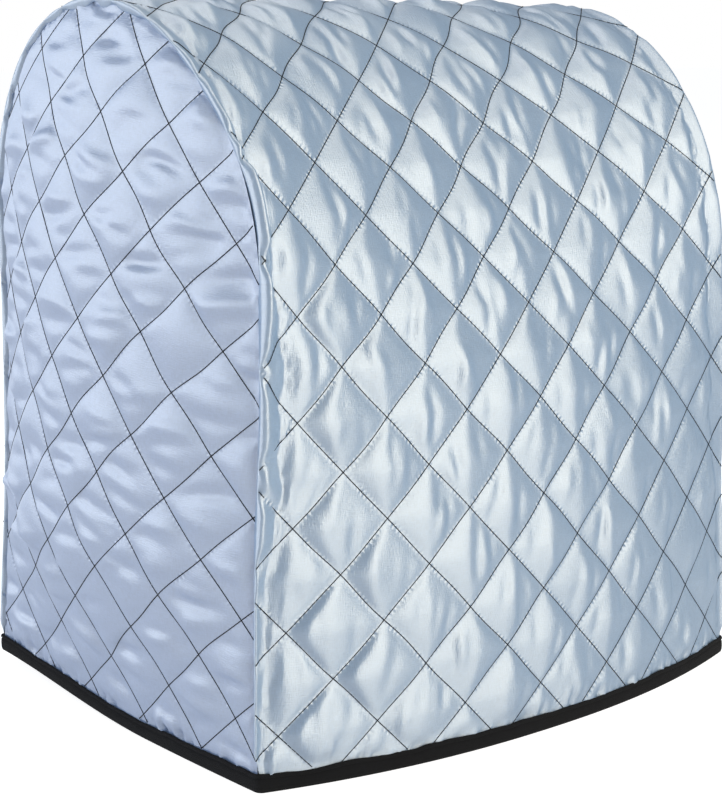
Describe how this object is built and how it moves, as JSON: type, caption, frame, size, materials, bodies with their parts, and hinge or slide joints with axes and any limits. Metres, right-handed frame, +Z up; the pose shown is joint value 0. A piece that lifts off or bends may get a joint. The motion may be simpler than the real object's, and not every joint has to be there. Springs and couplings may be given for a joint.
{
  "type": "stand mixer cover",
  "caption": "Quilted satin dust cover for a stand mixer, with an arched top, flat ends and a dark bound hem, open underneath.",
  "frame": {"origin": "middle of the hem, on the surface that the cover stands on", "axes": "+Z up, X along the long sides, the long side that the picture shows faces -Y and the end that it shows faces -X"},
  "size_m": [0.4124, 0.3162, 0.4045],
  "materials": {
    "satin": "pale silver-blue satin, quilted in diamonds with dark thread",
    "binding": "black twill tape, matt"
  },
  "bodies": {
    "root": {"main_panel": "satin", "end_panel_left": "satin", "end_panel_right": "satin", "hem_binding": "binding"}
  },
  "joints": []
}
